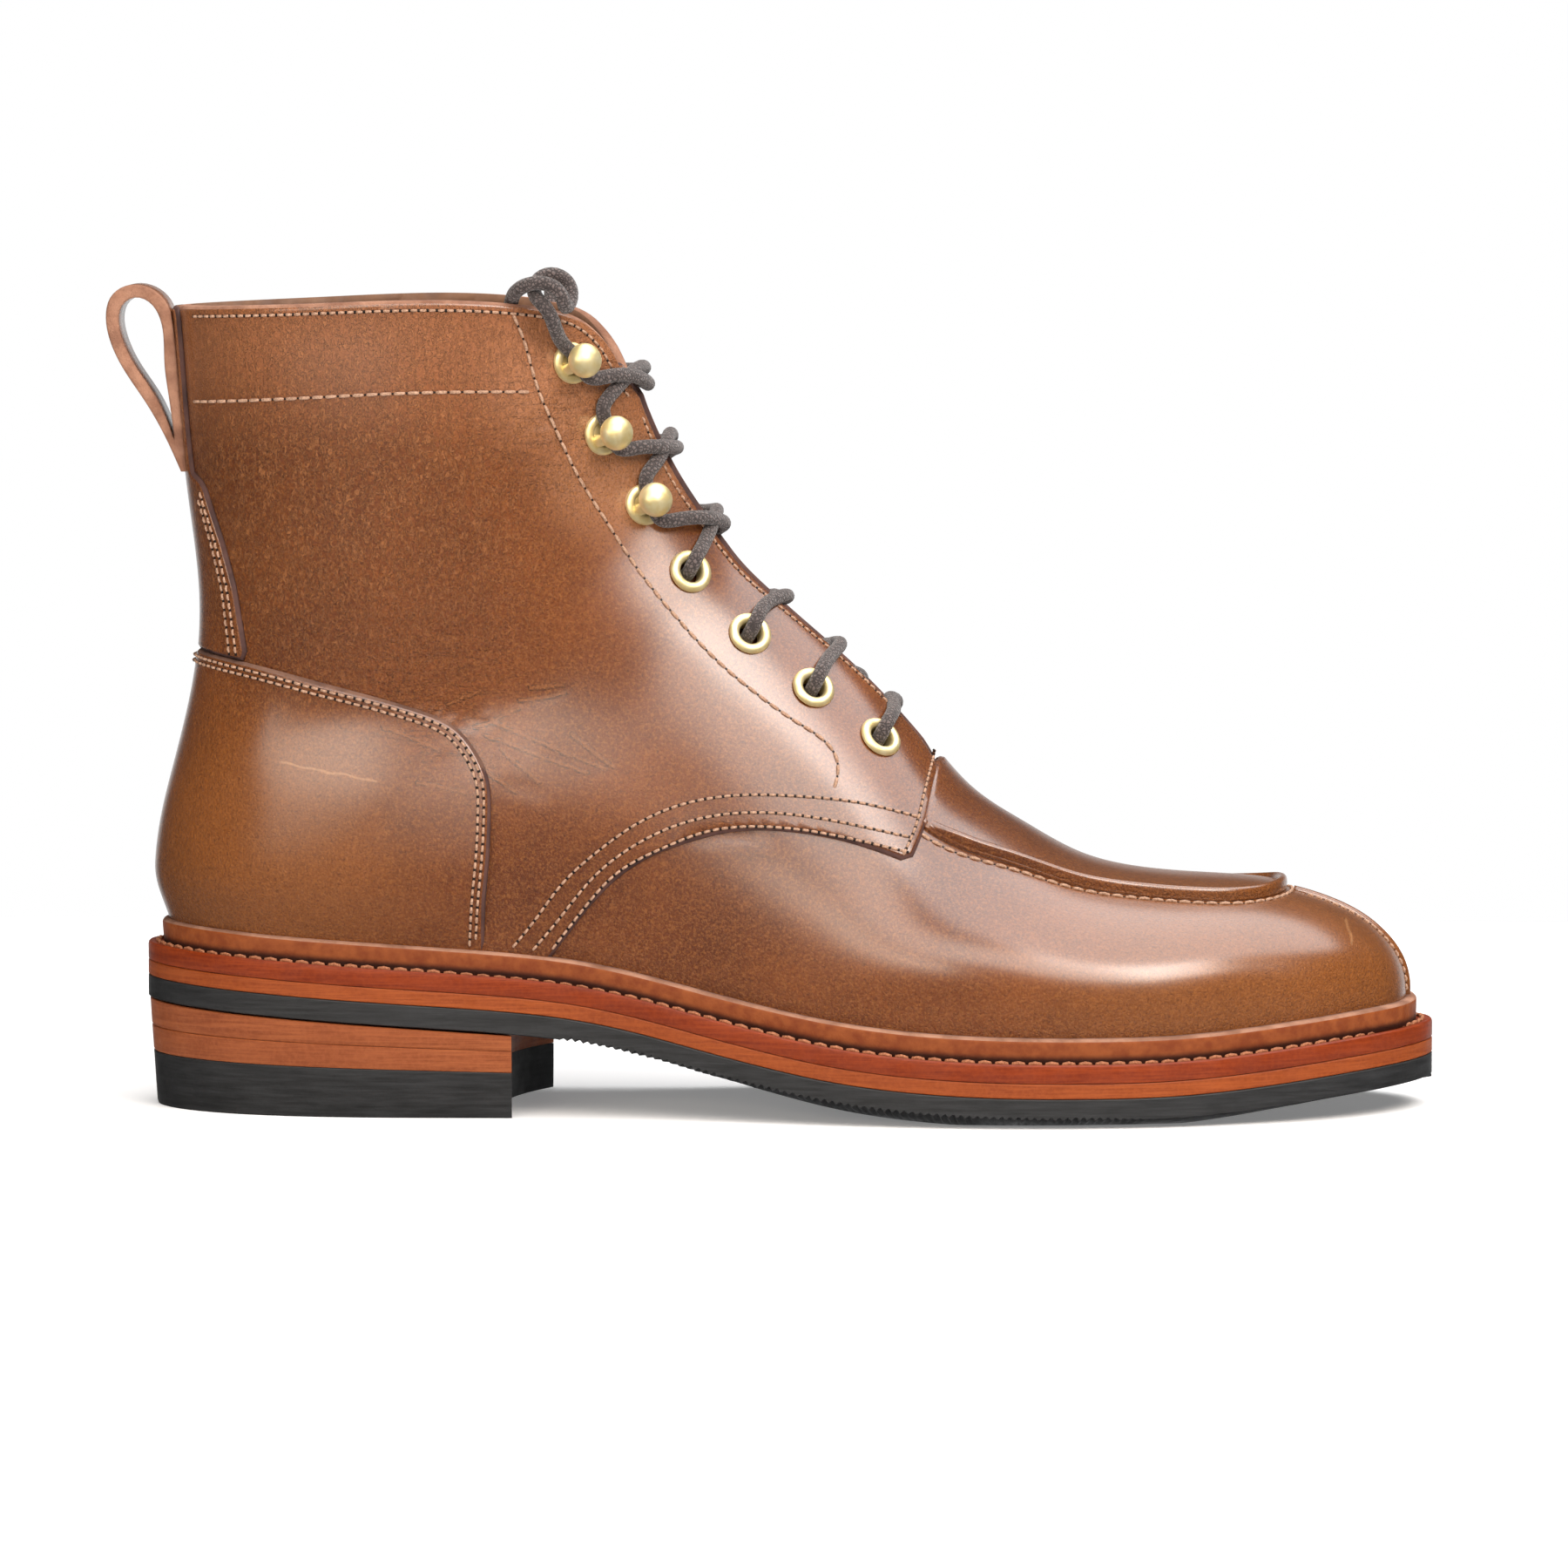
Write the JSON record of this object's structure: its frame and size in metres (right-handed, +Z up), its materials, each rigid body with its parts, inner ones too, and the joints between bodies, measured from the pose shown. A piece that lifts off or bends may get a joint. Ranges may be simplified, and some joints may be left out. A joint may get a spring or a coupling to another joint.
{
  "type": "norwegian toe boot",
  "caption": "Lace-up ankle boot for the right foot with a split-toe apron front, storm welt, leather and rubber sole, stacked heel, eyelets, ball hooks and a pull loop.",
  "frame": {"origin": "centre of the footprint box on the floor, at the bottom of the heel and forefoot", "axes": "+X to the toe, +Z up, outer side of the foot at -Y"},
  "size_m": [0.3139, 0.1048, 0.1976],
  "materials": {
    "tan_leather": "semi-gloss, finely creased",
    "welt_leather": "waxed edge",
    "stacked_leather": "waxed edge",
    "charcoal_rubber": "matte",
    "lining_leather": "matte",
    "brass": "satin",
    "waxed_cord": "waxed round cord"
  },
  "bodies": {
    "root": {"heel_top_piece": "charcoal_rubber", "heel_lift_lower": "stacked_leather", "heel_lift_upper": "stacked_leather", "outsole": "charcoal_rubber", "midsole": "stacked_leather", "welt": "welt_leather", "insole": "lining_leather", "upper": "tan_leather", "heel_counter": "tan_leather", "backstay": "tan_leather", "pull_loop": "tan_leather", "apron": "tan_leather", "toe_seam": "tan_leather", "tongue": "tan_leather", "eyelet_outer_1": "brass", "eyelet_outer_2": "brass", "eyelet_outer_3": "brass", "eyelet_outer_4": "brass", "eyelet_inner_1": "brass", "eyelet_inner_2": "brass", "eyelet_inner_3": "brass", "eyelet_inner_4": "brass", "hook_outer_1": "brass", "hook_outer_2": "brass", "hook_outer_3": "brass", "hook_inner_1": "brass", "hook_inner_2": "brass", "hook_inner_3": "brass", "lace_bar": "waxed_cord", "lace_cross_1": "waxed_cord", "lace_cross_2": "waxed_cord", "lace_cross_3": "waxed_cord", "lace_cross_4": "waxed_cord", "lace_cross_5": "waxed_cord", "lace_cross_6": "waxed_cord", "lace_end_outer": "waxed_cord", "lace_end_inner": "waxed_cord"}
  },
  "joints": []
}
